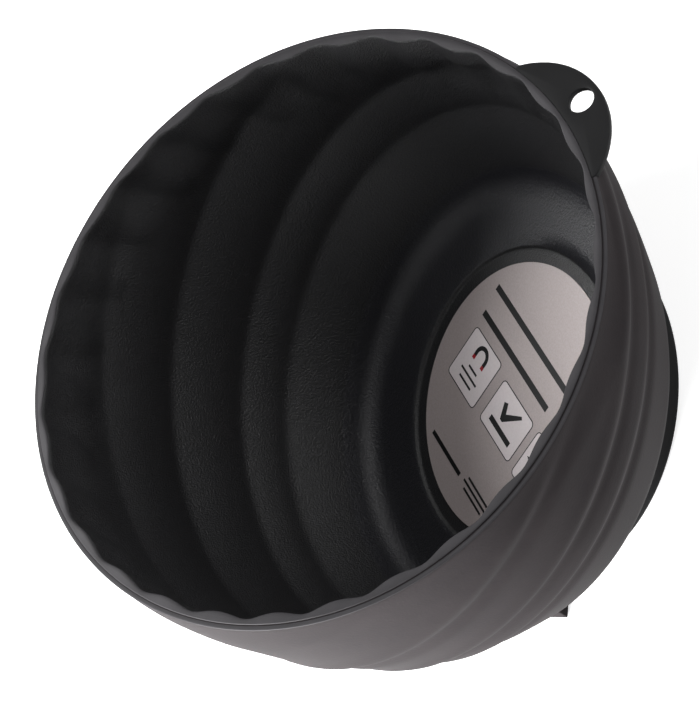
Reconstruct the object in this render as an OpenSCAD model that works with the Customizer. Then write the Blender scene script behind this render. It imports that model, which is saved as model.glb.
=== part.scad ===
// Magnetic parts tray: a leaning, rippled bowl with a slanting wavy rim on a round magnet base.
// The magnet's face lies in the plane z = 0, and the rim is high at +Y and low at -Y.

/* [Bowl] */
// Height from the magnet's face to the highest point of the rim
overall_h = 112; // [104:1:125]
// Tilt of the rim's plane from the base, in degrees
rim_tilt = 26.4; // [20:0.2:31]
// Sideways lean of the bowl for each millimetre of height
lean = 0.243; // [0.18:0.001:0.28]
// Height at which the bowl's leaning axis crosses the magnet's axis
lean_from = 17.1; // [12:0.1:20]
// Thickness of the wall
wall_t = 2.4; // [1.8:0.1:3]
// Thickness of the floor
floor_t = 2; // [1.8:0.1:2.6]
// Radius of the flat round seat for the label
seat_r = 34.5; // [33:0.5:37]
// Depth of the label's seat below the floor around it
seat_depth = 0.8; // [0.4:0.1:1]
// Radius of the bowl's flat underside
bottom_r = 49.6; // [48:0.1:50.8]

/* [Ripple rings] */
// Radius of the crease between floor and wall
crease_0_r = 50.6; // [49.4:0.1:52]
// Height of that crease above the magnet's face
crease_0_z = 16.3; // [15.5:0.1:17]
// Radius of the first ring's crease
crease_1_r = 60.2; // [59:0.1:61.4]
// Height of the first ring's crease
crease_1_z = 36.5; // [34:0.1:38]
// Radius of the second ring's crease
crease_2_r = 64.7; // [63.5:0.1:65.5]
// Height of the second ring's crease
crease_2_z = 47.9; // [46:0.1:50]
// Radius of the third ring's crease
crease_3_r = 69.8; // [69:0.1:70.6]
// Height of the third ring's crease
crease_3_z = 67; // [64:0.1:69]
// Radius of the fourth ring's crease
crease_4_r = 71.2; // [70.5:0.1:72]
// Height of the fourth ring's crease
crease_4_z = 88.2; // [85:0.1:91]
// How far the inner wall draws in from the fourth crease up to the top of the rim
top_draw = 1.7; // [0.5:0.1:3]
// How far the wall above the fourth crease swells outwards
top_swell = 0.8; // [0.4:0.1:1.2]
// Depth of the hollow that comes before each crease
ripple_depth = 0.8; // [0.4:0.1:1.4]
// How far the wall between hollow and crease swells inwards
ripple_swell = 0.6; // [0.3:0.1:1]
// How far the wall swells out to a round ridge behind each crease
ridge_proud = 0.9; // [0.4:0.1:1.4]

/* [Rim] */
// Number of rounded lobes on the inside of the rim
lobe_count = 30; // [24:2:36]
// How far each lobe bulges inwards
lobe_bulge = 1.1; // [0.8:0.1:1.6]
// Length of a lobe's straight part below the rim
lobe_len = 8; // [5:0.5:12]
// Height of the thin lip above the wall's outer shoulder
lip_h = 0.5; // [0.4:0.1:1.2]
// Thickness of the lip between two lobes
lip_t = 1.4; // [1.2:0.1:2]

/* [Hang tab] */
// Radius of the tab's round outline
tab_r = 22.2; // [18:0.2:25]
// How far the tab reaches out from the rim
tab_reach = 8; // [7.4:0.1:10]
// Thickness of the tab
tab_t = 1.4; // [1.2:0.1:2.4]
// Drop of the tab's face below the rim
tab_drop = 0.2; // [0.1:0.1:0.8]
// Diameter of the hang hole
hang_d = 5.8; // [4:0.1:6]
// Distance of the hang hole's centre from the rim's outer edge
hang_off = 3.6; // [3.4:0.1:4.2]

/* [Support feet] */
// Angle of each foot from the high side of the bowl, in degrees
foot_angle = 45; // [30:1:60]
// Width of a foot
foot_w = 15; // [8:0.5:18]
// How far each foot reaches out beyond the magnet base
foot_out = 8.6; // [6:0.1:9.4]
// Slope of a foot's outer face, in degrees
foot_slope = 20; // [10:1:24]
// Gap between a foot's lower face and the plane of the magnet's face
foot_gap = 0.2; // [0.1:0.1:0.5]

/* [Magnet base] */
// Outer diameter of the magnet base
base_d = 80; // [76:0.5:82]
// Height of the magnet base, up to the bowl's underside
base_h = 11.5; // [11:0.1:12.2]
// Thickness of the cover's side wall
boot_wall = 1.5; // [1:0.1:2]
// Thickness of the cover's bottom skin
boot_skin = 1.2; // [0.8:0.1:1.6]
// Radius of the cover's lower edge
boot_round = 1; // [0.5:0.1:1.4]
// Thickness of the steel pole plate
plate_t = 2.3; // [2:0.1:2.6]
// Diameter of the hole in the ring magnet
magnet_bore_d = 26; // [25:0.5:30]
// Play between the pieces of the base
base_play = 0.15; // [0.1:0.05:0.25]

/* [Clamp screw] */
// Diameter of the screw's thread
screw_d = 5; // [4:0.5:5.5]
// Diameter of the screw's countersunk head
head_d = 9.4; // [9:0.1:10]
// Play between the screw and the pieces that it passes
screw_play = 0.1; // [0.05:0.05:0.25]
// Diameter of the spigot that centres the pole plate on the bowl
spigot_d = 15; // [14:0.5:18]
// Length of the spigot below the bowl's underside
spigot_h = 1.4; // [1:0.1:1.8]
// Outer diameter of the washer
washer_d = 21; // [19:0.5:23]
// Thickness of the washer
washer_t = 1.2; // [1:0.1:1.4]
// Width of the nut across its flats
nut_af = 8; // [8:0.5:9]
// Height of the nut
nut_h = 4; // [3:0.1:4.2]
// Length of screw that stands out of the nut
screw_end = 0.8; // [0.4:0.1:1]

/* [Label] */
// Diameter of the label
label_d = 63.6; // [58:0.2:65]
// Thickness of the label
label_t = 0.2; // [0.1:0.05:0.3]

/* [Hidden] */

eps = 0.01;
far = 400;
fine = 96;
arc_steps = 4;
ridge_steps = 4;
base_r = base_d / 2;
floor_z = base_h + floor_t;
hollow_share = 0.47;

// Creases of the inner wall from the floor up, as radius and height
creases = [[crease_0_r, crease_0_z], [crease_1_r, crease_1_z], [crease_2_r, crease_2_z],
           [crease_3_r, crease_3_z], [crease_4_r, crease_4_z]];
top_r = crease_4_r - top_draw;
wall_top_z = 1.25 * overall_h;
ring_top = [top_r, overall_h];

// Points on a shallow arc from a to b, which swells to the left of that way; b itself is left out
function swell(a, b, height) =
    let (way = b - a, side = [-way[1], way[0]] / norm(way))
    [for (i = [0 : arc_steps - 1])
        let (t = i / arc_steps)
        a + way * t + side * height * 4 * t * (1 - t)];

// Hollow between two creases, a little inwards of the straight line that joins them
function hollow(a, b, depth) =
    a + (b - a) * hollow_share - [depth, 0];

// Inner wall between two creases: nearly straight to the hollow, then a swelling run to the next crease
function ripple(a, b, depth) =
    let (mid = hollow(a, b, depth))
    concat(swell(a, mid, ripple_swell / 3), swell(mid, b, ripple_swell));

// A short run, such as that between the first two rings, has a shallower hollow
function run_depth(a, b) = ripple_depth * min(1, (b[1] - a[1]) / (crease_1_z - crease_0_z));

inner_wall = concat(
    [for (i = [0 : len(creases) - 2])
        each ripple(creases[i], creases[i + 1], run_depth(creases[i], creases[i + 1]))],
    swell(creases[len(creases) - 1], ring_top, -top_swell),
    [ring_top, [top_r, wall_top_z]]);

// Outer wall from one ridge over the shallow valley to the next; the last ridge itself is left out
function ridge(a) = a + [wall_t + ridge_proud, 0];
function valley(a, b) = a + (b - a) * hollow_share + [wall_t, 0];
function wave(a, b) =
    [for (i = [0 : ridge_steps - 1])
        let (t = i / ridge_steps)
        [a[0] + (b[0] - a[0]) * (1 - cos(180 * t)) / 2, a[1] + (b[1] - a[1]) * t]];

outer_top = ring_top + [wall_t, 0];
outer_wall = concat(
    [creases[0] + [wall_t, 0]],
    [for (i = [1 : len(creases) - 2])
        each concat(wave(ridge(creases[i]), valley(creases[i], creases[i + 1])),
                    wave(valley(creases[i], creases[i + 1]), ridge(creases[i + 1])))],
    swell(ridge(creases[len(creases) - 1]), outer_top, -top_swell),
    [outer_top, [outer_top[0], wall_top_z]]);

// Radii over height, for finding where the rim's plane meets the wall
outer_table = [for (p = outer_wall) [p[1], p[0]]];
function outer_r(z) = lookup(z, outer_table);
inner_table = [for (p = inner_wall) [p[1], p[0]]];
function inner_r_at(z) = lookup(z, inner_table);
function lean_y(z) = -lean * (z - lean_from);

// The rim's plane passes over the wall's outer edge on the high side
high_y = lean_y(overall_h) + outer_r(overall_h);
function rim_z(y) = overall_h + (y - high_y) * tan(rim_tilt);

// Height at which the rim's plane passes over the wall's outer edge on the low side, by repeated steps
function low_side_z(z, steps) =
    steps == 0 ? z : low_side_z(rim_z(lean_y(z) - outer_r(z)), steps - 1);
low_z = low_side_z(overall_h / 2, 40);
low_y = lean_y(low_z) - outer_r(low_z);

// The same plane before the bowl is leant over
upright_slope = tan(rim_tilt) / (1 + lean * tan(rim_tilt));
upright_tilt = atan(upright_slope);
upright_high_y = outer_r(overall_h);
function upright_rim_z(y) = overall_h + (y - upright_high_y) * upright_slope;

// A lobe is a round post behind the wall's face, which it cuts a little short of its neighbours
lobe_step = 360 / lobe_count;
lobe_half = 0.46 * lobe_step;
lobe_gap_half = 0.49 * lobe_step;
lobe_tip = top_r - lobe_bulge;
lobe_meet = [top_r * cos(lobe_half), top_r * sin(lobe_half)];
lobe_centre = (lobe_meet[0] ^ 2 + lobe_meet[1] ^ 2 - lobe_tip ^ 2) / (2 * (lobe_meet[0] - lobe_tip));
lobe_r = lobe_centre - lobe_tip;

// Height of the rim over the inner wall at an angle round the bowl, by repeated steps
function lobe_top_z(turn, z, steps) =
    steps == 0 ? z : lobe_top_z(turn, upright_rim_z(inner_r_at(z) * sin(turn)), steps - 1);

head_h = (head_d - screw_d) / 2;
plate_z = base_h - plate_t;
washer_z = plate_z - washer_t;
nut_z = washer_z - nut_h;
inner_r = base_r - boot_wall - base_play;

// Leans the children over towards the low side
module leant() {
    multmatrix([[1, 0, 0, 0], [0, 1, -lean, lean * lean_from], [0, 0, 1, 0], [0, 0, 0, 1]]) children();
}

// Places the children in the rim's plane on the high side, before the bowl is leant over
module at_upright_rim() {
    translate([0, upright_high_y, overall_h]) rotate([upright_tilt, 0, 0]) children();
}

// Everything above the rim's plane
module above_rim() {
    at_upright_rim() translate([-far / 2, -far / 2, 0]) cube([far, far, far]);
}

// Everything above the shoulder's plane that isn't the lip
module above_shoulder() {
    difference() {
        translate([0, 0, -lip_h / cos(upright_tilt)]) above_rim();
        rotate_extrude($fn = fine)
            polygon(concat(
                [[0, floor_z]],
                [for (p = inner_wall) p + [lip_t, 0]],
                [[0, wall_top_z]]));
    }
}

// One half of the bowl's outer form, with a round ridge behind each crease
module outer_half(side) {
    rotate([0, 0, -90 * side]) rotate_extrude(angle = 180, $fn = fine)
        polygon(concat([[0, base_h], [bottom_r, base_h]], outer_wall, [[0, wall_top_z]]));
}

// Hollow of the bowl, down to the floor round the label's seat
module inner_form() {
    rotate_extrude($fn = fine)
        polygon(concat([[0, floor_z + seat_depth], [seat_r, floor_z + seat_depth]], inner_wall, [[0, wall_top_z]]));
}

// Round post with a domed lower end, which stands with its dome's centre at the origin
module lobe_post() {
    rotate_extrude($fn = fine) {
        intersection() {
            circle(r = lobe_r, $fn = fine);
            translate([0, -lobe_r]) square([lobe_r, lobe_r]);
        }
        square([lobe_r, wall_top_z / 3]);
    }
}

// Sector of a ring that holds one lobe apart from its neighbours
module lobe_sector() {
    reach = [0.8 * top_r, 1.1 * top_r];
    spread = tan(lobe_gap_half);
    linear_extrude(height = 2 * wall_top_z)
        polygon([[reach[0], -reach[0] * spread], [reach[1], -reach[1] * spread],
                 [reach[1], reach[1] * spread], [reach[0], reach[0] * spread]]);
}

// The lobes of one half; each follows the wall down from the rim
module lobes(side) {
    for (i = [0 : lobe_count / 2 - 1]) {
        turn = -90 * side + (i + 0.5) * lobe_step;
        top = lobe_top_z(turn, overall_h / 2, 30);
        low = top - lobe_len;
        slope = atan((inner_r_at(top) - inner_r_at(low)) / lobe_len);
        rotate([0, 0, turn]) intersection() {
            translate([inner_r_at(low), 0, low]) rotate([0, slope, 0])
                translate([lobe_r - lobe_bulge, 0, 0]) lobe_post();
            lobe_sector();
        }
    }
}

// One half of the bowl before it is leant over
module half_shell(side) {
    difference() {
        outer_half(side);
        above_rim();
        above_shoulder();
        difference() {
            inner_form();
            lobes(side);
        }
    }
}

module bowl_shell() {
    leant() half_shell(1);
    leant() half_shell(-1);
}

// Places the children in the rim's plane at its lowest outer edge, with +Y along the plane, uphill
module at_low_edge() {
    translate([0, low_y, low_z]) rotate([rim_tilt, 0, 0]) children();
}

// Rounded tab outside the low side of the rim
module hang_tab() {
    rim_curve_r = top_r + wall_t;
    at_low_edge() translate([0, 0, -tab_drop - tab_t]) difference() {
        translate([0, tab_r - tab_reach, 0]) cylinder(r = tab_r, h = tab_t, $fn = fine);
        translate([0, rim_curve_r + wall_t, -eps]) cylinder(r = rim_curve_r, h = tab_t + 2 * eps, $fn = fine);
    }
}

module hang_hole() {
    at_low_edge() translate([0, -hang_off, -tab_drop - 2 * tab_t])
        cylinder(d = hang_d, h = 3 * tab_t, $fn = fine);
}

// Foot under the high side, which keeps the tray from tipping when its magnet holds it to a wall
module foot(turn) {
    foot_h = base_h - foot_gap;
    foot_reach = base_r + foot_out;
    inner = base_r + 2 * base_play + 1;
    rotate([0, 0, 90 + turn]) translate([0, foot_w / 2, foot_gap]) rotate([90, 0, 0])
        linear_extrude(height = foot_w)
            polygon([[inner, 0], [foot_reach, 0], [foot_reach - foot_h * tan(foot_slope), foot_h + eps],
                     [inner, foot_h + eps]]);
}

module bowl() {
    color("#2b2b2d") difference() {
        union() {
            bowl_shell();
            hang_tab();
            foot(foot_angle);
            foot(-foot_angle);
            translate([0, 0, base_h - spigot_h]) cylinder(d = spigot_d, h = spigot_h + eps, $fn = fine);
        }
        hang_hole();
        translate([0, 0, -eps]) cylinder(d = screw_d + 2 * screw_play, h = floor_z + 1, $fn = fine);
        translate([0, 0, floor_z - head_h - screw_play])
            cylinder(d1 = screw_d, d2 = head_d + 2 * screw_play, h = head_h + screw_play, $fn = fine);
        translate([0, 0, floor_z]) cylinder(r1 = seat_r, r2 = seat_r + seat_depth, h = seat_depth + eps, $fn = fine);
    }
}

module label() {
    color("#a89e9d") translate([0, 0, floor_z]) cylinder(d = label_d, h = label_t, $fn = fine);
}

module magnet_boot() {
    color("#0c0c0c") rotate_extrude($fn = fine)
        polygon(concat(
            [[0, 0]],
            [for (a = [-90 : 15 : 0]) [base_r - boot_round + boot_round * cos(a), boot_round + boot_round * sin(a)]],
            [[base_r, base_h], [base_r - boot_wall, base_h], [base_r - boot_wall, boot_skin], [0, boot_skin]]));
}

module ring_magnet() {
    color("#3a3836") translate([0, 0, boot_skin]) difference() {
        cylinder(r = inner_r, h = plate_z - boot_skin, $fn = fine);
        translate([0, 0, -eps]) cylinder(d = magnet_bore_d, h = base_h, $fn = fine);
    }
}

module pole_plate() {
    color("#9a9c9e") translate([0, 0, plate_z]) difference() {
        cylinder(r = inner_r, h = plate_t, $fn = fine);
        translate([0, 0, -eps]) cylinder(d = spigot_d + 2 * base_play, h = plate_t + 2 * eps, $fn = fine);
    }
}

module clamp_screw() {
    color("#b9bbbd") {
        translate([0, 0, nut_z - screw_end]) cylinder(d = screw_d, h = floor_z - nut_z + screw_end, $fn = fine);
        translate([0, 0, floor_z - head_h]) cylinder(d1 = screw_d, d2 = head_d, h = head_h, $fn = fine);
    }
}

module clamp_washer() {
    color("#c4c6c8") translate([0, 0, washer_z]) difference() {
        cylinder(d = washer_d, h = washer_t, $fn = fine);
        translate([0, 0, -eps]) cylinder(d = screw_d + 2 * screw_play, h = washer_t + 2 * eps, $fn = fine);
    }
}

module clamp_nut() {
    color("#b4b6b8") translate([0, 0, nut_z]) difference() {
        cylinder(d = nut_af / cos(30), h = nut_h, $fn = 6);
        translate([0, 0, -eps]) cylinder(d = screw_d + 2 * screw_play, h = nut_h + 2 * eps, $fn = fine);
    }
}

bowl();
label();
magnet_boot();
ring_magnet();
pole_plate();
clamp_screw();
clamp_washer();
clamp_nut();
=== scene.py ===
import math

import bmesh
import bpy
from mathutils import Matrix, Vector


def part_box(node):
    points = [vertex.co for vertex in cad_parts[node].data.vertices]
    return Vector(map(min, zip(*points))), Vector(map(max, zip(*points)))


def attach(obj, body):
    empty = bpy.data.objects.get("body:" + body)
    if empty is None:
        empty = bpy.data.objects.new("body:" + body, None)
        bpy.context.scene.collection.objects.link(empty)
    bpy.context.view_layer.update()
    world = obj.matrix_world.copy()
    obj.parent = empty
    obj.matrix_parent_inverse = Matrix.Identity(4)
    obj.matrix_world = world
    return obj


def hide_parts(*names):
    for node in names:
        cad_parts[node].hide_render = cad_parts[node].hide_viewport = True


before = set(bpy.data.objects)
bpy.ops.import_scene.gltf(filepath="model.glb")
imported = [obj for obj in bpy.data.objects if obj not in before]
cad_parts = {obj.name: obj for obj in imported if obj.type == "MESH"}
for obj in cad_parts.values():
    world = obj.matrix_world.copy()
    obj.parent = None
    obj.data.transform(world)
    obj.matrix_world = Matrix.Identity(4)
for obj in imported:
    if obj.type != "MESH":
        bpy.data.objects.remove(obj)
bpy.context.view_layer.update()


# Magnet cover: a black rubber cap moulded round the ring magnet, so that it holds without scratching.
# Soft rubber from a plain steel mould is matt and very dark, with a faint mottle of dust.
# Here and below, a pattern's scale is MM_PER_M over its real size in millimetres.

MM_PER_M = 1000


def linear(hex_colour):
    parts = [int(hex_colour[i:i + 2], 16) / 255 for i in (1, 3, 5)]
    return [c / 12.92 if c < 0.04045 else ((c + 0.055) / 1.055) ** 2.4 for c in parts] + [1.0]


def add(tree, kind, links=None, **settings):
    node = tree.nodes.new(kind)
    for name, value in settings.items():
        socket = node.inputs.get(name.replace("_", " "))
        if socket is not None:
            socket.default_value = value
        else:
            setattr(node, name, value)
    for name, source in (links or {}).items():
        tree.links.new(source, node.inputs[name])
    return node


def begin_finish(name):
    finish = bpy.data.materials.new(name)
    finish.use_nodes = True
    tree = finish.node_tree
    place = add(tree, "ShaderNodeTexCoord").outputs["Object"]
    return finish, tree, tree.nodes["Principled BSDF"], place


def dress(node_name, finish):
    for material_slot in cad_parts[node_name].material_slots:
        material_slot.material = finish


cover_rubber, tree, shader, place = begin_finish("moulded black rubber")
dust = add(tree, "ShaderNodeTexNoise", {"Vector": place}, Scale=MM_PER_M / 6, Detail=4)
tone = add(tree, "ShaderNodeMix", {"Factor": dust.outputs["Fac"]}, data_type="RGBA")
tone.inputs["A"].default_value = linear("#070708")
tone.inputs["B"].default_value = linear("#0e0e10")
pores = add(tree, "ShaderNodeTexNoise", {"Vector": place}, Scale=MM_PER_M / 0.5, Detail=2)
relief = add(tree, "ShaderNodeBump", {"Height": pores.outputs["Fac"]}, Strength=0.15, Distance=0.0002)
tree.links.new(tone.outputs["Result"], shader.inputs["Base Color"])
tree.links.new(relief.outputs["Normal"], shader.inputs["Normal"])
shader.inputs["Roughness"].default_value = 0.75
shader.inputs["Specular IOR Level"].default_value = 0.2
dress("magnet_boot", cover_rubber)


# Ring magnet: hard ferrite, pressed and sintered, its faces ground flat.
# Ground ferrite is a dull charcoal with fine, even pits.

ferrite, tree, shader, place = begin_finish("ground ferrite")
pits = add(tree, "ShaderNodeTexNoise", {"Vector": place}, Scale=MM_PER_M / 0.8, Detail=5)
shade = add(tree, "ShaderNodeValToRGB", {"Fac": pits.outputs["Fac"]})
shade.color_ramp.elements[0].color = linear("#26241f")
shade.color_ramp.elements[1].color = linear("#45423c")
tree.links.new(shade.outputs["Color"], shader.inputs["Base Color"])
shader.inputs["Roughness"].default_value = 0.62
dress("ring_magnet", ferrite)


# Pole plate, screw, washer and nut: mild steel with a thin bright zinc coat. They clamp the magnet to the bowl.
# Zinc plate is a cool grey metal with a soft, slightly cloudy shine.

zinc_steel, tree, shader, place = begin_finish("zinc-plated steel")
cloud = add(tree, "ShaderNodeTexNoise", {"Vector": place}, Scale=MM_PER_M / 3, Detail=3)
shine = add(tree, "ShaderNodeMapRange", {"Value": cloud.outputs["Fac"]}, To_Min=0.28, To_Max=0.45)
tree.links.new(shine.outputs["Result"], shader.inputs["Roughness"])
shader.inputs["Base Color"].default_value = linear("#b9bcc0")
shader.inputs["Metallic"].default_value = 1.0
for piece in ("pole_plate", "clamp_screw", "clamp_washer", "clamp_nut"):
    dress(piece, zinc_steel)


# Bowl: one injection moulding in black ABS, with ripple rings parallel to its base and a slanting, lobed rim.
# It leans towards its low side; a thin lip stands on the wall's shoulder, and the floor is sunk for the label.
# It is drawn in millimetres, as one column of points for each degree, from the screw's hole out and back.

RIM_TILT = math.radians(26.4)
RIM_SLOPE = math.tan(RIM_TILT)
RIM_TOP, HIGH_Y = 112.0, 48.44
LEAN, LEAN_FROM = 0.243, 17.1
SHOULDER_DROP, LIP_T, RIM_T = 0.4, 1.35, 2.6
LIP_SLANT = 0.55
INNER_FADE, EDGE_FADE = 14.0, 9.0

# Points on the wall, as radius and height: the creases inside, the ridges outside and the rim's inner edge.
# The depths say how far each run between two of them is hollowed, and the softness how round its ends are.

inner_creases = [(50.6, 16.3), (60.2, 36.5), (64.7, 47.9), (69.8, 67.0), (71.2, 88.2), (69.5, RIM_TOP)]
inner_depths, CREASE_SOFT = [1.1, 0.8, 1.3, 1.3, 0.5], 0.12
outer_ridges = [(49.6, 11.5), (53.3, 16.3), (64.4, 36.5), (69.0, 47.9), (73.3, 67.0), (74.7, 88.2),
                (73.8, 104.5), (72.1, RIM_TOP)]
outer_depths, RIDGE_SOFT = [0.0, 0.0, 0.4, 0.4, 0.3, 0.0, 0.0], 0.2
rim_points = [(65.1, 50.5), (69.6, 66.5), (71.5, 78.0), (72.0, 89.0), (71.2, 101.0), (69.5, RIM_TOP)]

# Three outer ridges swell a little above their line and have a narrow groove below it.

grooved_ridges = (36.5, 47.9, 67.0)
SWELL_H, SWELL_UP, SWELL_W = 0.3, 1.0, 2.6
GROOVE_D, GROOVE_DOWN, GROOVE_W = 1.0, 3.4, 2.4

# The lobes' places drift by a few degrees round the rim, as they do on the real moulding.

LOBES, LOBE_BULGE, LOBE_LEN, LOBE_SOFT = 30, 1.15, 1.0, 0.6
LOBE_START, HALF_LOBE = 7.7, 6.0
DRIFT_COS, DRIFT_SIN, DRIFT_TWICE = 1.8, 1.6, 1.8


def lean_y(z):
    return -LEAN * (z - LEAN_FROM)


def rim_height(y):
    return RIM_TOP + (y - HIGH_Y) * RIM_SLOPE


def along(points, z):
    z = min(max(z, points[0][1]), points[-1][1])
    k = next(i for i in range(1, len(points)) if z <= points[i][1])
    (r0, z0), (r1, z1) = points[k - 1], points[k]
    before, after = points[max(k - 2, 0)], points[min(k + 1, len(points) - 1)]
    m0 = (r1 - before[0]) / (z1 - before[1]) * (z1 - z0)
    m1 = (after[0] - r0) / (after[1] - z0) * (z1 - z0)
    t = (z - z0) / (z1 - z0)
    radius = (2 * t ** 3 - 3 * t ** 2 + 1) * r0 + (t ** 3 - 2 * t ** 2 + t) * m0
    return radius + (3 * t ** 2 - 2 * t ** 3) * r1 + (t ** 3 - t ** 2) * m1, 4 * t * (1 - t), k


def soft(arc, radius):
    return (math.hypot(arc, radius) - radius) / (math.hypot(1, radius) - radius)


def ease(value, end):
    t = min(max(value / end, 0.0), 1.0)
    return t * t * (3 - 2 * t)


def swell(offset, width):
    return math.exp(-(offset / width) ** 2)


def rim_line(z):
    return along(rim_points, z)[0]


def foot_line(z):
    return rim_line(z) + LIP_T


def edge_line(z):
    return rim_line(z) + RIM_T


def inner_wall(z, depth):
    radius, arc, run = along(inner_creases, z)
    wall_r = radius - inner_depths[run - 1] * soft(arc, CREASE_SOFT)
    return wall_r + (rim_line(z) - wall_r) * (1 - ease(depth, INNER_FADE))


def outer_wall(z, depth):
    radius, arc, run = along(outer_ridges, z)
    wall_r = radius - outer_depths[run - 1] * soft(arc, RIDGE_SOFT)
    for ridge_z in grooved_ridges:
        groove = GROOVE_D * swell(z - ridge_z + GROOVE_DOWN, GROOVE_W)
        wall_r += SWELL_H * swell(z - ridge_z - SWELL_UP, SWELL_W) - groove
    return wall_r + (edge_line(z) - wall_r) * (1 - ease(depth, EDGE_FADE))


def lobe(turn, depth):
    drift = DRIFT_COS * math.cos(turn) + DRIFT_SIN * math.sin(turn) - DRIFT_TWICE * math.sin(2 * turn)
    wave = math.cos(math.pi * (math.degrees(turn) - drift - LOBE_START - HALF_LOBE) * LOBES / 360)
    end = max(depth - LOBE_LEN, 0.0) / INNER_FADE
    return LOBE_BULGE * max(0.0, soft(wave, LOBE_SOFT) - end * end)


# Where a line on the wall meets the rim's plane, found in rounds from a height near the middle.

START_Z, ROUNDS = 80.0, 25


def on_plane(turn, drop, radius_at):
    z = START_Z
    for _ in range(ROUNDS):
        z = rim_height(lean_y(z) + radius_at(z) * math.sin(turn)) - drop / math.cos(RIM_TILT)
    return z, radius_at(z)


def flat_point(turn, radius, z):
    return Vector((radius * math.cos(turn), radius * math.sin(turn), z))


def wall_point(turn, radius, z):
    return Vector((radius * math.cos(turn), lean_y(z) + radius * math.sin(turn), z))


# The underside with the screw's hole, the fillet between wall and floor, the floor, and the label's seat,
# which ends at the screw's countersink.

HOLE_R, BASE_Z, BASE_R, BASE_ROUND = 2.8, 11.5, 48.2, 1.4
OUTER_FROM, EDGE_ROUND, OUTER_STEPS = 13.2, 0.4, 80
RIM_ROUND, INNER_STEPS, INNER_CROWD = 0.35, 90, 1.1
FILLET_Z, BELOW_RIM = 19.0, 90.0
(VIA_R, VIA_Z), (END_R, END_Z) = (50.2, 15.5), (46.0, 14.95)
floor_points = [(43.0, 14.7), (40.0, 14.5), (36.2, 14.32)]
seat_points = [(35.6, 14.26), (35.35, 14.1), (35.2, 13.7), (35.0, 13.52), (34.4, 13.5), (20.0, 13.5), (4.8, 13.5)]

# Small roundings of the rim, as steps inwards and upwards from each of its corners.

edge_steps = [(0.06, -0.2), (0.18, -0.05), (0.45, 0.0)]
foot_steps = [(-0.2, 0.0), (-0.03, 0.0), (0.0, 0.12)]
lip_steps = [(0.0, -0.2), (0.05, -0.06), (0.2, 0.0)]
rim_steps = [(-0.3, 0.0), (-0.08, -0.08)]


def bowl_column(turn):
    rim_z, rim_r = on_plane(turn, 0.0, rim_line)
    edge_z, edge_r = on_plane(turn, SHOULDER_DROP, edge_line)
    foot_z, foot_r = on_plane(turn, SHOULDER_DROP, foot_line)
    column = [flat_point(turn, HOLE_R, BASE_Z)]
    column += [wall_point(turn, r, BASE_Z) for r in (30.0, BASE_R)]
    for a in (0.4, 0.8, 1.2):
        z = BASE_Z + BASE_ROUND - BASE_ROUND * math.cos(a)
        column.append(wall_point(turn, BASE_R + BASE_ROUND * math.sin(a), z))
    for i in range(OUTER_STEPS + 1):
        z = OUTER_FROM + (edge_z - EDGE_ROUND - OUTER_FROM) * i / OUTER_STEPS
        column.append(wall_point(turn, outer_wall(z, (edge_z - z) * math.cos(RIM_TILT)), z))
    inwards = Vector((-math.cos(turn), -math.sin(turn), -RIM_SLOPE * math.sin(turn))).normalized()
    upwards = Vector((0.0, -math.sin(RIM_TILT), math.cos(RIM_TILT)))
    edge, foot = wall_point(turn, edge_r, edge_z), wall_point(turn, foot_r, foot_z)
    lip = foot + upwards * SHOULDER_DROP
    rim = wall_point(turn, rim_r - lobe(turn, 0.0), rim_z)
    for corner, steps in ((edge, edge_steps), (foot, foot_steps), (lip, lip_steps)):
        column += [corner + inwards * step + upwards * rise for step, rise in steps]
    column.append(lip.lerp(rim, LIP_SLANT))
    column += [rim + inwards * step + upwards * rise for step, rise in rim_steps]
    for i in range(1, INNER_STEPS + 1):
        z = rim_z - RIM_ROUND + (FILLET_Z - rim_z + RIM_ROUND) * (i / INNER_STEPS) ** INNER_CROWD
        depth = (rim_z - z) * math.cos(RIM_TILT)
        column.append(wall_point(turn, inner_wall(z, depth) - lobe(turn, depth), z))
    wall_r = inner_wall(FILLET_Z, BELOW_RIM)
    for t in (0.2, 0.4, 0.6, 0.8, 1.0):
        radius = (1 - t) ** 2 * wall_r + 2 * t * (1 - t) * VIA_R + t * t * END_R
        z = (1 - t) ** 2 * FILLET_Z + 2 * t * (1 - t) * VIA_Z + t * t * END_Z
        column.append(wall_point(turn, radius, z))
    column += [wall_point(turn, r, z) for r, z in floor_points]
    return column + [flat_point(turn, r, z) for r, z in seat_points]


def shown(name, mesh_data, finish, smooth=True):
    mesh = bpy.data.meshes.new(name)
    bmesh.ops.scale(mesh_data, vec=[1 / MM_PER_M] * 3, verts=mesh_data.verts)
    mesh_data.to_mesh(mesh)
    mesh_data.free()
    for face in mesh.polygons:
        face.use_smooth = smooth
    mesh.materials.append(finish)
    piece = bpy.data.objects.new(name, mesh)
    bpy.context.scene.collection.objects.link(piece)
    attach(piece, "root")
    return piece


# Inside, the mould was spark-eroded: a fine, even grain that sparkles faintly in a soft sheen.
# Its grain is about 0.2 mm on the real tray, drawn at 0.45 mm so that it shows.

inner_abs, tree, shader, place = begin_finish("spark-eroded black ABS")
mottle = add(tree, "ShaderNodeTexNoise", {"Vector": place}, Scale=MM_PER_M / 9, Detail=3)
tone = add(tree, "ShaderNodeMix", {"Factor": mottle.outputs["Fac"]}, data_type="RGBA")
tone.inputs["A"].default_value = linear("#101012")
tone.inputs["B"].default_value = linear("#161618")
grain = add(tree, "ShaderNodeTexNoise", {"Vector": place}, Scale=MM_PER_M / 0.45, Detail=2, Roughness=0.7)
relief = add(tree, "ShaderNodeBump", {"Height": grain.outputs["Fac"]}, Strength=0.7, Distance=0.0004)
tree.links.new(tone.outputs["Result"], shader.inputs["Base Color"])
tree.links.new(relief.outputs["Normal"], shader.inputs["Normal"])
shader.inputs["Roughness"].default_value = 0.5

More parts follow.
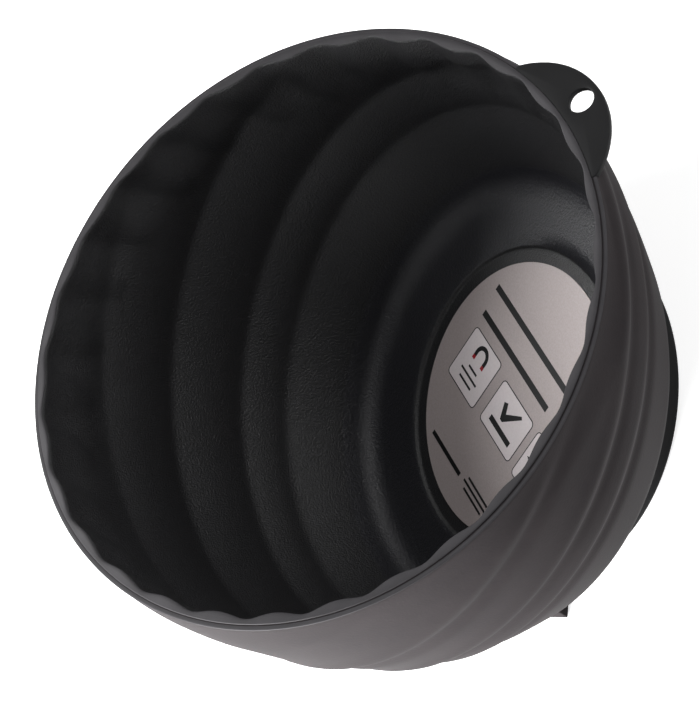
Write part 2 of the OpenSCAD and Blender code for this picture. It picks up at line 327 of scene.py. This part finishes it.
# On the floor the same grain was burnt in deeper, so it is coarser, bluer and a little glossier.

floor_abs, tree, shader, place = begin_finish("coarse spark-eroded black ABS")
pitting = add(tree, "ShaderNodeTexNoise", {"Vector": place}, Scale=MM_PER_M / 0.7, Detail=3, Roughness=0.8)
tone = add(tree, "ShaderNodeMix", {"Factor": pitting.outputs["Fac"]}, data_type="RGBA")
tone.inputs["A"].default_value = linear("#111114")
tone.inputs["B"].default_value = linear("#1d1d22")
relief = add(tree, "ShaderNodeBump", {"Height": pitting.outputs["Fac"]}, Strength=0.8, Distance=0.0004)
tree.links.new(tone.outputs["Result"], shader.inputs["Base Color"])
tree.links.new(relief.outputs["Normal"], shader.inputs["Normal"])
shader.inputs["Roughness"].default_value = 0.4

# Outside, the mould was only stoned: a satin skin, a little cloudy and worn to brown-grey.

outer_abs, tree, shader, place = begin_finish("satin black ABS")
wear = add(tree, "ShaderNodeTexNoise", {"Vector": place}, Scale=MM_PER_M / 14, Detail=7, Roughness=0.75)
tone = add(tree, "ShaderNodeMix", {"Factor": wear.outputs["Fac"]}, data_type="RGBA")
tone.inputs["A"].default_value = linear("#151214")
tone.inputs["B"].default_value = linear("#2a2627")
gloss = add(tree, "ShaderNodeMapRange", {"Value": wear.outputs["Fac"]}, To_Min=0.66, To_Max=0.78)
skin = add(tree, "ShaderNodeTexNoise", {"Vector": place}, Scale=MM_PER_M / 0.6, Detail=2)
relief = add(tree, "ShaderNodeBump", {"Height": skin.outputs["Fac"]}, Strength=0.35, Distance=0.00015)
tree.links.new(tone.outputs["Result"], shader.inputs["Base Color"])
tree.links.new(gloss.outputs["Result"], shader.inputs["Roughness"])
tree.links.new(relief.outputs["Normal"], shader.inputs["Normal"])
shader.inputs["Specular IOR Level"].default_value = 0.08

# The rim's face is drawn paler than the wall. The same paler finish on the shoulder's rounded outer edge is a
# painted highlight: the thin bright line along it.

pale_rim_and_highlight_abs, tree, shader, place = begin_finish("paler black ABS with painted edge highlight")
rim_mottle = add(tree, "ShaderNodeTexNoise", {"Vector": place}, Scale=MM_PER_M / 5, Detail=5, Roughness=0.6)
tone = add(tree, "ShaderNodeMix", {"Factor": rim_mottle.outputs["Fac"]}, data_type="RGBA")
tone.inputs["A"].default_value = linear("#242325")
tone.inputs["B"].default_value = linear("#353336")
tree.links.new(tone.outputs["Result"], shader.inputs["Base Color"])
shader.inputs["Roughness"].default_value = 0.6
shader.inputs["Specular IOR Level"].default_value = 0.2

# Which finish each row of the column takes: the underside and outer wall, the step beside the lip, the inside
# and the floor. The rest is the rim. The step at the lip's foot takes the darker outer finish as painted shade,
# the shadow in its groove, and the shoulder's rounded edge takes the paler rim finish as a painted highlight. The
# order of the finishes is that of the piece's material slots.

OUTER_ROWS = 6 + OUTER_STEPS + 1
shaded_step_rows = range(OUTER_ROWS + 3, OUTER_ROWS + 6)
INNER_FROM = OUTER_ROWS + 11
floor_rows = range(INNER_FROM + INNER_STEPS - 4, INNER_FROM + INNER_STEPS + 9)
INSIDE, OUTSIDE, RIM_AND_EDGE_HIGHLIGHT, FLOOR = range(4)


def finish_of(row):
    if row in floor_rows:
        return FLOOR
    if row >= INNER_FROM:
        return INSIDE
    return OUTSIDE if row < OUTER_ROWS or row in shaded_step_rows else RIM_AND_EDGE_HIGHLIGHT


wall = bmesh.new()
rows = wall.verts.layers.int.new("row")
strip = [wall.verts.new((100.0, 0.0, i)) for i in range(len(bowl_column(0.0)))]
for i, vert in enumerate(strip):
    vert[rows] = i
edges = [wall.edges.new(pair) for pair in zip(strip, strip[1:] + strip[:1])]
bmesh.ops.spin(wall, geom=strip + edges, axis=(0, 0, 1), cent=(0, 0, 0), angle=2 * math.pi, steps=360,
               use_merge=True)
columns = [bowl_column(math.radians(turn)) for turn in range(360)]
for vert in wall.verts:
    turn = round(math.degrees(math.atan2(vert.co.y, vert.co.x))) % 360
    vert.co = columns[turn][vert[rows]]
for face in wall.faces:
    face.material_index = finish_of(min(vert[rows] for vert in face.verts))
bmesh.ops.recalc_face_normals(wall, faces=wall.faces)
bowl = shown("bowl_wall", wall, inner_abs)
for finish in (outer_abs, pale_rim_and_highlight_abs, floor_abs):
    bowl.data.materials.append(finish)
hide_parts("bowl")


# Hang tab: a rounded ear moulded on the low side of the rim, level with the shoulder, with a round hole.
# It is the bowl's own ABS; its edges are softly rounded.

tab_abs, tree, shader, place = begin_finish("smooth black ABS")
haze = add(tree, "ShaderNodeTexNoise", {"Vector": place}, Scale=MM_PER_M / 6, Detail=4)
tone = add(tree, "ShaderNodeMix", {"Factor": haze.outputs["Fac"]}, data_type="RGBA")
tone.inputs["A"].default_value = linear("#0f0f10")
tone.inputs["B"].default_value = linear("#161617")
tree.links.new(tone.outputs["Result"], shader.inputs["Base Color"])
shader.inputs["Roughness"].default_value = 0.6
shader.inputs["Specular IOR Level"].default_value = 0.15

TAB_R, TAB_REACH, TAB_T, TAB_DROP = 22.2, 8.0, 1.4, 0.2
HANG_R, HANG_OFF = 2.9, 3.6
TAB_ROOT, TAB_WALL_R = 1.8, 75.0
LOW_Y = -76.18
TAB_MIDDLE = TAB_R - TAB_REACH + HANG_OFF
ALMOST_LEVEL, SHARP_ANGLE = 0.05, 1.0


def verts_of(geometry):
    return [item for item in geometry if isinstance(item, bmesh.types.BMVert)]


# Its outline, seen from the hole's middle, is a round ear that ends in the wall, along the wall's curve.

tab = bmesh.new()
bmesh.ops.create_circle(tab, segments=96, radius=HANG_R)
ear = bmesh.ops.extrude_edge_only(tab, edges=tab.edges[:])["geom"]
for vert in verts_of(ear):
    way = vert.co.normalized()
    reach = way.y * TAB_MIDDLE + math.sqrt((way.y * TAB_MIDDLE) ** 2 + TAB_R ** 2 - TAB_MIDDLE ** 2)
    for _ in range(4):
        inside = HANG_OFF + TAB_ROOT + (reach * way.x) ** 2 / (2 * TAB_WALL_R)
        if way.y > ALMOST_LEVEL:
            reach = min(reach, inside / way.y)
    vert.co = way * reach
bmesh.ops.recalc_face_normals(tab, faces=tab.faces)
lower = bmesh.ops.extrude_face_region(tab, geom=tab.faces[:])["geom"]
bmesh.ops.translate(tab, vec=(0, 0, -TAB_T), verts=verts_of(lower))
bmesh.ops.recalc_face_normals(tab, faces=tab.faces)
sharp = [edge for edge in tab.edges if edge.calc_face_angle(0.0) > SHARP_ANGLE]
bmesh.ops.bevel(tab, geom=sharp, offset=0.35, offset_type="OFFSET", affect="EDGES", segments=3, profile=0.5,
                material=-1)
bmesh.ops.translate(tab, vec=(0, -HANG_OFF, -TAB_DROP), verts=tab.verts)
bmesh.ops.rotate(tab, matrix=Matrix.Rotation(RIM_TILT, 3, "X"), verts=tab.verts)
bmesh.ops.translate(tab, vec=(0, LOW_Y, rim_height(LOW_Y)), verts=tab.verts)
shown("hang_tab", tab, tab_abs)


# Support feet: two wedges moulded under the high side, which keep the tray level when it hangs on a wall.
# They are the bowl's own ABS, in the outside's satin skin.

FOOT_OUT, FOOT_IN, FOOT_W = 48.6, 41.3, 15
FOOT_LOW, FOOT_H = 0.2, 11.5
FOOT_DRAFT = 11.3 * math.tan(math.radians(20))

for name, turn in (("support_foot_left", 45), ("support_foot_right", -45)):
    foot = bmesh.new()
    bmesh.ops.create_cube(foot, size=1.0)
    for vert in foot.verts:
        rise = vert.co.z + 0.5
        reach = FOOT_OUT - FOOT_DRAFT * rise if vert.co.x > 0 else FOOT_IN
        vert.co = Vector((reach, vert.co.y * FOOT_W, FOOT_LOW + rise * FOOT_H))
    bmesh.ops.bevel(foot, geom=foot.edges[:], offset=0.4, offset_type="OFFSET", affect="EDGES", segments=3,
                    profile=0.5, material=-1)
    bmesh.ops.rotate(foot, matrix=Matrix.Rotation(math.radians(90 + turn), 3, "Z"), verts=foot.verts)
    shown(name, foot, outer_abs)


# Label: a round of silver polyester film stuck into the floor's seat, with plain printed frames and signs.
# Metallised film under a frosted coat is a pale warm grey with a fine sparkle.

film, tree, shader, place = begin_finish("frosted silver film")
speck = add(tree, "ShaderNodeTexNoise", {"Vector": place}, Scale=MM_PER_M / 0.4, Detail=2)
tone = add(tree, "ShaderNodeMix", {"Factor": speck.outputs["Fac"]}, data_type="RGBA")
tone.inputs["A"].default_value = linear("#8d8483")
tone.inputs["B"].default_value = linear("#a59b9a")
tree.links.new(tone.outputs["Result"], shader.inputs["Base Color"])
shader.inputs["Metallic"].default_value = 0.1
shader.inputs["Roughness"].default_value = 0.55
dress("label", film)


# Label's print: a thin coat of screen ink on the film, with black rules and signs, and pale panels with a thin
# frame. Screen ink dries flat and matt, a little patchy where the mesh left less of it.

def ink(name, hex_dark, hex_pale):
    coat, tree, shader, place = begin_finish(name)
    patchy = add(tree, "ShaderNodeTexNoise", {"Vector": place}, Scale=MM_PER_M / 0.6, Detail=3)
    tone = add(tree, "ShaderNodeMix", {"Factor": patchy.outputs["Fac"]}, data_type="RGBA")
    tone.inputs["A"].default_value = linear(hex_dark)
    tone.inputs["B"].default_value = linear(hex_pale)
    tree.links.new(tone.outputs["Result"], shader.inputs["Base Color"])
    shader.inputs["Roughness"].default_value = 0.55
    shader.inputs["Specular IOR Level"].default_value = 0.2
    return coat


LABEL_TOP, INK_T, SAME_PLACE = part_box("label")[1][2] * MM_PER_M, 0.03, 0.01
black_ink = ink("black screen ink", "#0c0c0d", "#161617")
pale_ink = ink("pale screen ink", "#c2babc", "#d0c9ca")
red_ink = ink("red screen ink", "#8e1620", "#a51f28")
coats = {coat: bmesh.new() for coat in (black_ink, pale_ink, red_ink)}


def plate(coat, left, right, low, high, corner=0.0, frame_w=0.0):
    drawn = coats[coat]
    verts = bmesh.ops.create_grid(drawn, x_segments=1, y_segments=1, size=0.5)["verts"]
    bmesh.ops.scale(drawn, vec=(right - left, high - low, 1), verts=verts)
    bmesh.ops.translate(drawn, vec=((left + right) / 2, (low + high) / 2, 0), verts=verts)
    if corner:
        verts = bmesh.ops.bevel(drawn, geom=verts, offset=corner, offset_type="OFFSET", affect="VERTICES",
                                segments=6, profile=0.5, material=-1)["verts"]
    if frame_w:
        panel = [face for face in drawn.faces if set(face.verts) == set(verts)]
        bmesh.ops.inset_region(drawn, faces=panel, thickness=frame_w, use_boundary=True, use_even_offset=True)
        bmesh.ops.delete(drawn, geom=panel, context="FACES")


def outline_face(coat, corners):
    drawn = coats[coat]
    drawn.faces.new([drawn.verts.new((u, v, 0)) for u, v in corners])


# Rules and panels, as left, right, low and high; thin rules, as their height, left and right.

rules = [(-25, 14, 12.2, 13.8), (-24, 10, 5.2, 6.8), (-16, -1, -25.0, -23.9), (-3.4, 6.6, -8.9, -7.5)]
thin_rules = [(-5.6, -18.4, -14.4), (-7.4, -20.4, -12.6), (-9.2, -19.4, -13.6), (-22.6, 2, 12), (-24.0, 1, 13),
              (-25.4, 2.5, 11.5)]
panels = [(-23.5, -9.4, -11.7, 2.4), (-6.3, 9.5, -11.1, 1.0), (11.7, 26.0, -11.7, 1.3)]
THIN, FRAME_W, FRAME_ROUND, PANEL_ROUND = 0.28, 0.22, 1.2, 1.0
for left, right, low, high in rules:
    plate(black_ink, left, right, low, high)
for v, left, right in thin_rules:
    plate(black_ink, left, right, v - THIN, v + THIN)
for left, right, low, high in panels:
    plate(black_ink, left, right, low, high, FRAME_ROUND, FRAME_W)
    plate(pale_ink, left + FRAME_W, right - FRAME_W, low + FRAME_W, high - FRAME_W, PANEL_ROUND)

# The signs on the panels: a horseshoe magnet with red poles, a tick, and an arrow for the width.

BOW_LEFT, BOW_MIDDLE, BOW_V, ARM_W, ARM_LEN = -19.2, -16.5, -1.6, 1.1, 1.0
bow = coats[black_ink]
ends = [bow.verts.new((u, BOW_V, 0)) for u in (-18.1, BOW_LEFT)]
bmesh.ops.spin(bow, geom=ends + [bow.edges.new(ends)], axis=(0, 0, -1), cent=(BOW_MIDDLE, BOW_V, 0),
               angle=math.pi, steps=24)
for left in (BOW_LEFT, -14.9):
    plate(black_ink, left, left + ARM_W, BOW_V - ARM_LEN, BOW_V)
    plate(red_ink, left, left + ARM_W, BOW_V - 2 * ARM_LEN, BOW_V - ARM_LEN)
tick = [(-2.2, -2.6), (-0.4, -6.3), (0.7, -6.3), (5.6, -1.3), (4.9, -0.8), (0.4, -4.2), (-0.9, -2.0)]
left_head = [(13.2, -5.25), (15.6, -6.2), (15.6, -4.3)]
right_head = [(24.6, -5.25), (22.2, -4.3), (22.2, -6.2)]
outline_face(black_ink, tick)
plate(black_ink, 14.6, 23.2, -5.5, -5.0)
outline_face(black_ink, left_head)
outline_face(black_ink, right_head)

# Each coat is turned so that its top points to the low side, and gets its thickness, the signs a little more.

prints = [(pale_ink, "label_panels", 0.0), (black_ink, "label_signs", INK_T), (red_ink, "label_poles", INK_T)]
for coat, name, lift in prints:
    drawn = coats[coat]
    bmesh.ops.remove_doubles(drawn, verts=drawn.verts, dist=SAME_PLACE)
    bmesh.ops.rotate(drawn, matrix=Matrix.Rotation(math.pi, 3, "Z"), verts=drawn.verts)
    bmesh.ops.recalc_face_normals(drawn, faces=drawn.faces)
    bmesh.ops.reverse_faces(drawn, faces=[face for face in drawn.faces if face.normal.z < 0])
    raised = bmesh.ops.extrude_face_region(drawn, geom=drawn.faces[:], use_keep_orig=True)["geom"]
    bmesh.ops.translate(drawn, vec=(0, 0, INK_T + lift), verts=verts_of(raised))
    bmesh.ops.translate(drawn, vec=(0, 0, LABEL_TOP), verts=drawn.verts)
    bmesh.ops.recalc_face_normals(drawn, faces=drawn.faces)
    shown(name, drawn, coat, smooth=False)


# Stage: a wide pale floor under the magnet's face, which keeps the tray's shadow.
# It glows only for the camera, mirrored and clear rays, so it looks white without lighting the tray.

FLOOR_HALF, FLOOR_GLOW = 6.0, 0.75
floor_paint, tree, shader, place = begin_finish("pale floor")
shader.inputs["Base Color"].default_value = linear("#c8c8c8")
shader.inputs["Roughness"].default_value = 0.9
shader.inputs["Emission Color"].default_value = linear("#ffffff")
rays = add(tree, "ShaderNodeLightPath").outputs
mirrored = add(tree, "ShaderNodeMath", {0: rays["Is Glossy Ray"], 1: rays["Is Transmission Ray"]},
               operation="MAXIMUM")
seen = add(tree, "ShaderNodeMath", {0: rays["Is Camera Ray"], 1: mirrored.outputs["Value"]}, operation="MAXIMUM")
glow = add(tree, "ShaderNodeMath", {0: seen.outputs["Value"]}, operation="MULTIPLY")
glow.inputs[1].default_value = FLOOR_GLOW
tree.links.new(glow.outputs["Value"], shader.inputs["Emission Strength"])
ground = bmesh.new()
bmesh.ops.create_grid(ground, x_segments=1, y_segments=1, size=FLOOR_HALF)
floor_mesh = bpy.data.meshes.new("floor")
ground.to_mesh(floor_mesh)
ground.free()
floor_mesh.materials.append(floor_paint)
floor = bpy.data.objects.new("floor", floor_mesh)
bpy.context.scene.collection.objects.link(floor)


# Light: weak white light from all round, a large soft lamp beside the high end of the tray, and three weaker
# ones for the wall, the label and the inside. All of them aim at the tray's middle.

scene = bpy.context.scene
scene.view_settings.view_transform = "Standard"
world = bpy.data.worlds.new("soft studio")
world.use_nodes = True
scene.world = world
sky = world.node_tree.nodes["Background"]
sky.inputs["Color"].default_value = (1, 1, 1, 1)
sky.inputs["Strength"].default_value = 0.25
LIT_POINT = Vector((0, 0, 0.05))


def lamp(name, position, size, power):
    light = bpy.data.lights.new(name, "AREA")
    light.shape = "DISK"
    light.size = size
    light.energy = power
    holder = bpy.data.objects.new(name, light)
    aim = (LIT_POINT - Vector(position)).to_track_quat("-Z", "Y").to_matrix().to_4x4()
    holder.matrix_world = Matrix.Translation(position) @ aim
    scene.collection.objects.link(holder)


lamp("side_lamp", (-0.42, 1.1, 0.42), size=0.6, power=80)
lamp("wall_lamp", (0.1, -1.0, 0.66), size=0.5, power=6.5)
lamp("key_lamp", (0.66, 0.3, 0.98), size=0.5, power=15)
lamp("top_lamp", (-0.5, 0.4, 1.0), size=0.6, power=4.5)


# Camera: the photograph's long lens, where it stood and how it was turned, as fitted to the rim, rings and label.
# The focal length was fitted in the photograph's pixels, along its longer side.

FOCAL_PX, LONG_SIDE_PX, SENSOR_MM = 3016.82, 703, 36
STAND = (-0.42612, -0.31014, 0.45780)
sideways = Vector((-0.384817, -0.479522, -0.788653))
upright = Vector((0.654529, -0.744222, 0.133135))
backwards = Vector((-0.650774, -0.464964, 0.600251))

camera = bpy.data.cameras.new("camera")
camera.sensor_width = SENSOR_MM
camera.lens = FOCAL_PX * SENSOR_MM / LONG_SIDE_PX
camera.clip_start = 0.01
viewer = bpy.data.objects.new("camera", camera)
turned = Matrix((sideways, upright, backwards)).transposed().to_4x4()
viewer.matrix_world = Matrix.Translation(STAND) @ turned
scene.collection.objects.link(viewer)
scene.camera = viewer
